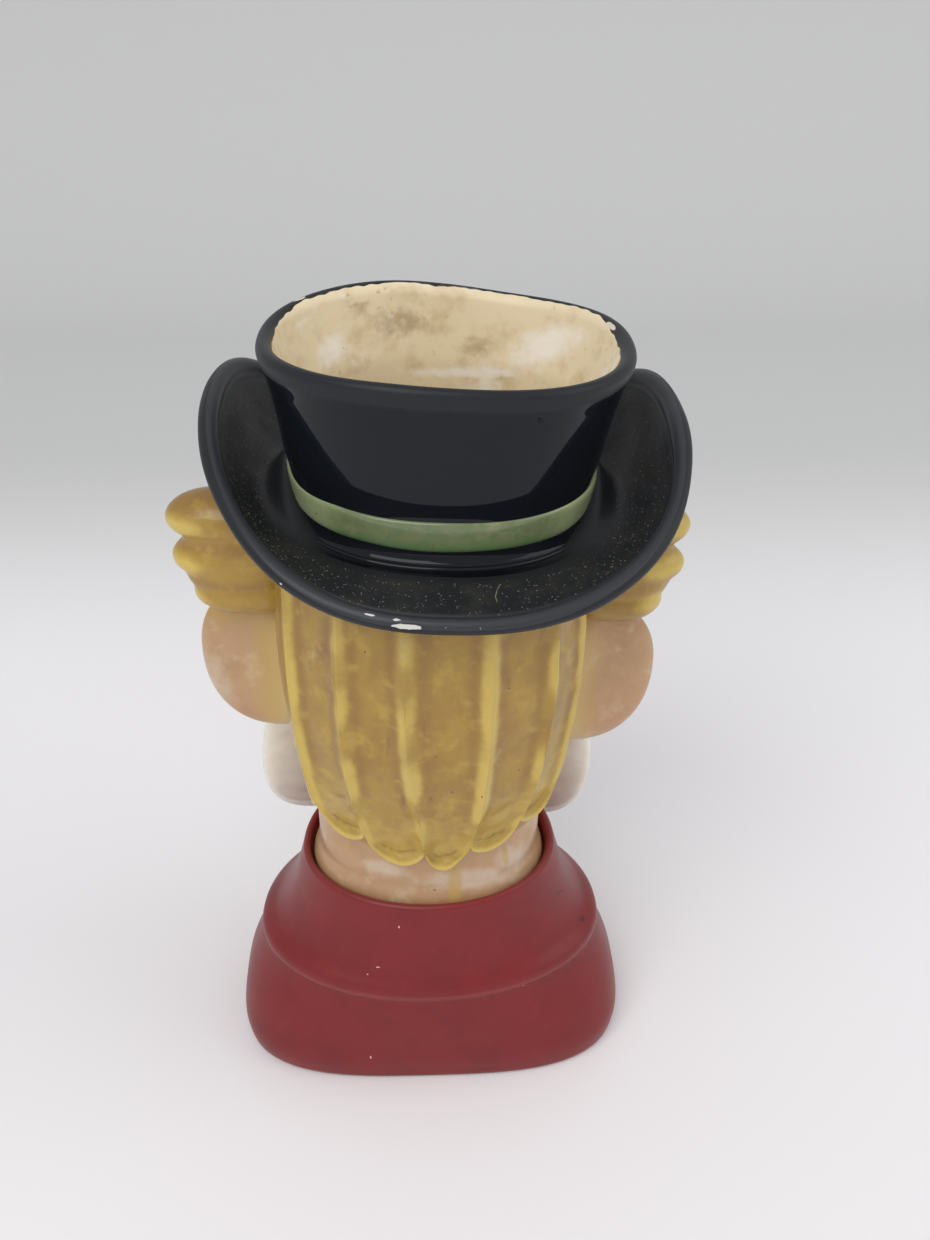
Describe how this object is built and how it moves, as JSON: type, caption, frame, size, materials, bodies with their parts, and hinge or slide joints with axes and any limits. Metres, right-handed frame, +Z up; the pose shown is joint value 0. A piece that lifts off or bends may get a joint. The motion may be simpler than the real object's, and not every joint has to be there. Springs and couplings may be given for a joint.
{
  "type": "head vase",
  "caption": "Hollow glazed earthenware head vase: a head in an open-topped hat that holds flowers, with side hair, big ears, a bow tie and a high-collared coat as its foot.",
  "frame": {"origin": "middle of the coat's flat underside, on the surface that the vase stands on", "axes": "+Z up the vase; the face looks along -Y; +X is the side of the pieces named left"},
  "size_m": [0.0923, 0.0866, 0.1514],
  "materials": {
    "coat_glaze": "satin dark red paint over glaze, slightly worn",
    "flesh_glaze": "glossy cream-pink glaze, finely mottled",
    "hair_glaze": "glossy air-brushed yellow glaze, pooled brown in the hollows",
    "crown_glaze": "mirror-glossy black glaze outside, cream glaze inside",
    "brim_glaze": "dull dusty black glaze with chips at its lip",
    "band_glaze": "glossy pale green glaze, mottled",
    "bow_glaze": "glossy warm white glaze"
  },
  "bodies": {
    "root": {"coat_skirt": "coat_glaze", "coat_collar": "coat_glaze", "head_shell": "flesh_glaze", "ear_left": "flesh_glaze", "ear_right": "flesh_glaze", "hair_back": "hair_glaze", "side_hair_left": "hair_glaze", "side_hair_right": "hair_glaze", "hat_crown": "crown_glaze", "hat_brim": "brim_glaze", "hat_band": "band_glaze", "bow_wing_left": "bow_glaze", "bow_wing_right": "bow_glaze", "bow_knot": "bow_glaze"}
  },
  "joints": []
}
